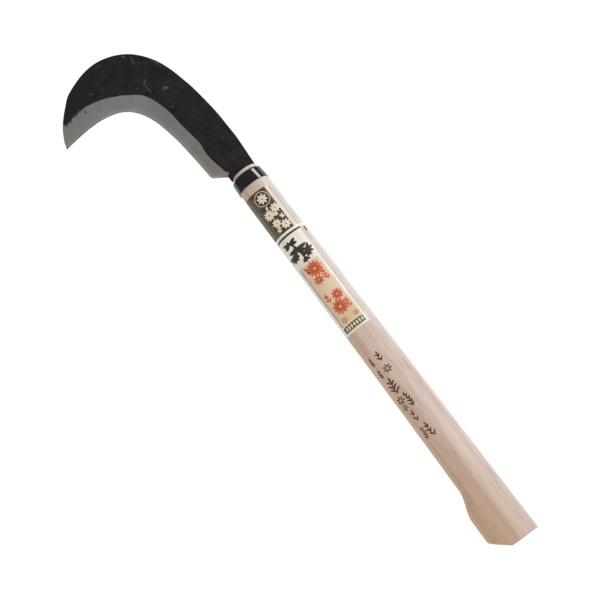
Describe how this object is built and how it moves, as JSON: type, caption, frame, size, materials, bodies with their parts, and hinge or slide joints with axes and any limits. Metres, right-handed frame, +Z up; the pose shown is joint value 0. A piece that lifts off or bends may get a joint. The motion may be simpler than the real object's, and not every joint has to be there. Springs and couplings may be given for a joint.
{
  "type": "hand sickle",
  "caption": "Hooked laminated steel blade on a short oval hardwood handle with an enamelled ferrule and a flared butt.",
  "frame": {"origin": "bottom centre of the whole sickle's box, as it lies flat on a table", "axes": "+X along the handle from the butt to the blade, +Y to the side that the blade hooks and cuts, +Z up out of the blade's flat"},
  "size_m": [0.656, 0.1534, 0.028],
  "materials": {
    "forged_iron": "black forge scale, ground grey on the bevels",
    "ground_steel": "ground, fine scratches",
    "hardwood": "planed and sanded, unvarnished",
    "black_enamel": "gloss enamel",
    "nail_steel": "drawn wire",
    "cream_paper": "coated paper, printed",
    "printed_paper": "coated paper, dark print"
  },
  "bodies": {
    "root": {"blade_body": "forged_iron", "edge_steel": "ground_steel", "handle": "hardwood", "ferrule": "black_enamel", "tang_nail": "nail_steel", "label_lower": "cream_paper", "label_upper": "printed_paper"}
  },
  "joints": []
}
